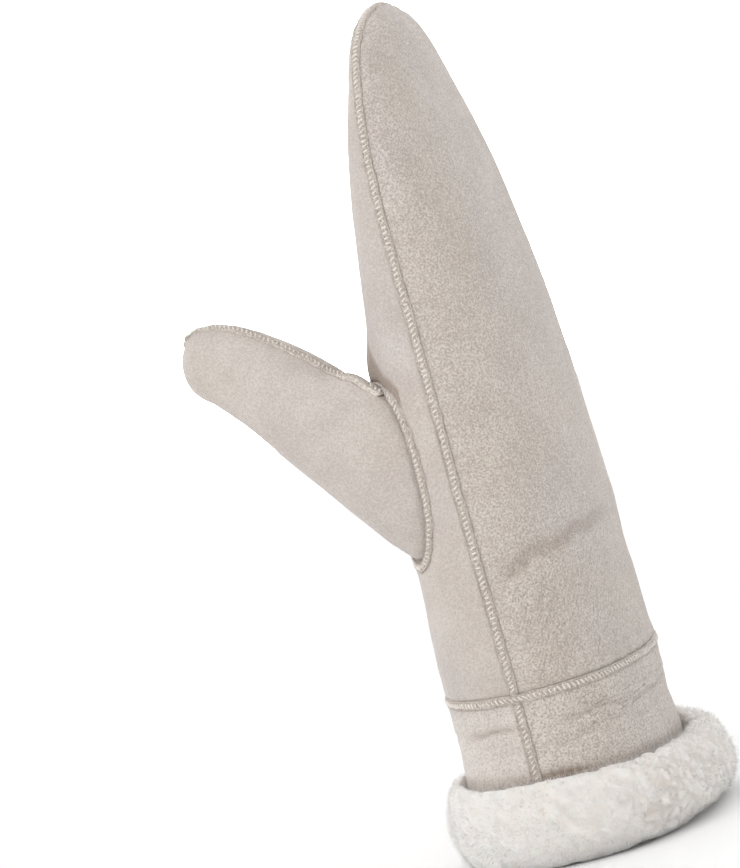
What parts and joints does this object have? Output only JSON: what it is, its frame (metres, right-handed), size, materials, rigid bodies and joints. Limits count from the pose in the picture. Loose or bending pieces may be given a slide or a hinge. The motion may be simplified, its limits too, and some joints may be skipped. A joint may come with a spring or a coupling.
{
  "type": "fur mitten",
  "caption": "Right-hand shearling mitten: suede hand with an outward thumb on the palm, a short wrist band and a thick turned wool cuff.",
  "frame": {"origin": "on the surface that the mitten stands on, under the middle of its bounding box", "axes": "+Z from the cuff to the fingertips, +X towards the back of the hand, -X towards the palm and the thumb's tip, -Y towards the edge of the hand that the thumb grows from"},
  "size_m": [0.1446, 0.125, 0.2959],
  "materials": {
    "suede": "matt napped suede",
    "seam_edge": "raw hide edges whipped over with thread",
    "wool": "short curly clipped wool"
  },
  "bodies": {
    "root": {"back_panel": "suede", "palm_panel": "suede", "thumb": "suede", "back_band": "suede", "palm_band": "suede", "side_seam": "seam_edge", "hem_seam": "seam_edge", "thumb_edge_band_seam": "seam_edge", "outer_edge_band_seam": "seam_edge", "thumb_root_seam": "seam_edge", "thumb_seam": "seam_edge", "wool_cuff": "wool"}
  },
  "joints": []
}
